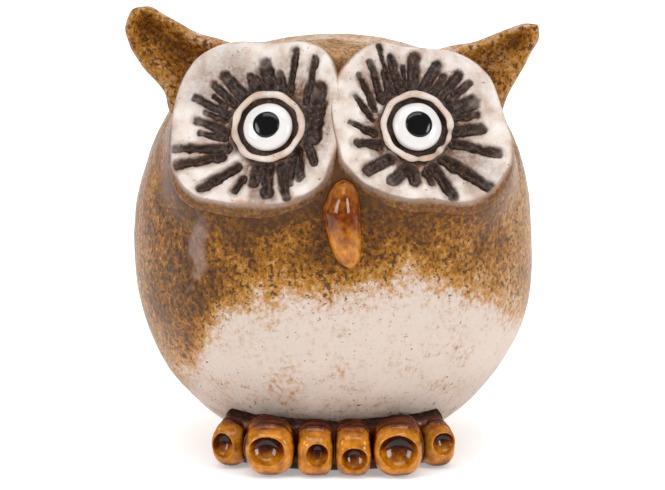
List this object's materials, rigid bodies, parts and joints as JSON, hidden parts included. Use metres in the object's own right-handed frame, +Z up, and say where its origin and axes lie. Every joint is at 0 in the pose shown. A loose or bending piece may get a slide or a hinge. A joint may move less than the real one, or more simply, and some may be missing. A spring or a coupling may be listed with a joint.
{
  "type": "owl coin bank",
  "caption": "Round hollow stoneware owl coin bank with ear tufts, round eye discs, a beak, thumb-pressed toes, a coin slot behind the crown and a rubber stopper in the base.",
  "frame": {"origin": "on the ground, under the middle of the whole piece's bounding box", "axes": "+Z up through the crown; the owl looks along -Y; +X is to the right of someone facing the owl"},
  "size_m": [0.1125, 0.1147, 0.1193],
  "materials": {
    "amber_glaze": "speckled satin amber glaze over buff stoneware, bare cream belly",
    "white_slip": "satin white slip with iron-stained grooves",
    "eye_white_glaze": "gloss white glaze",
    "black_glaze": "gloss black glaze",
    "honey_glaze": "gloss honey glaze pooling to dark brown",
    "rubber_stopper": "moulded matt rubber"
  },
  "bodies": {
    "owl": {"body_shell": "amber_glaze", "left_ear": "amber_glaze", "right_ear": "amber_glaze", "left_face_disc": "white_slip", "right_face_disc": "white_slip", "left_eye_ring": "white_slip", "right_eye_ring": "white_slip", "left_eyeball": "eye_white_glaze", "right_eyeball": "eye_white_glaze", "left_pupil": "black_glaze", "right_pupil": "black_glaze", "beak": "honey_glaze", "foot_slab": "honey_glaze", "left_outer_toe": "honey_glaze", "left_middle_toe": "honey_glaze", "left_inner_toe": "honey_glaze", "right_inner_toe": "honey_glaze", "right_middle_toe": "honey_glaze", "right_outer_toe": "honey_glaze"},
    "stopper": {"stopper": "rubber_stopper"}
  },
  "joints": [
    {"name": "stopper_pull", "type": "slide", "parent": "owl", "child": "stopper", "axis": [0, 0, -1], "range_m": [0, 0.03]}
  ]
}
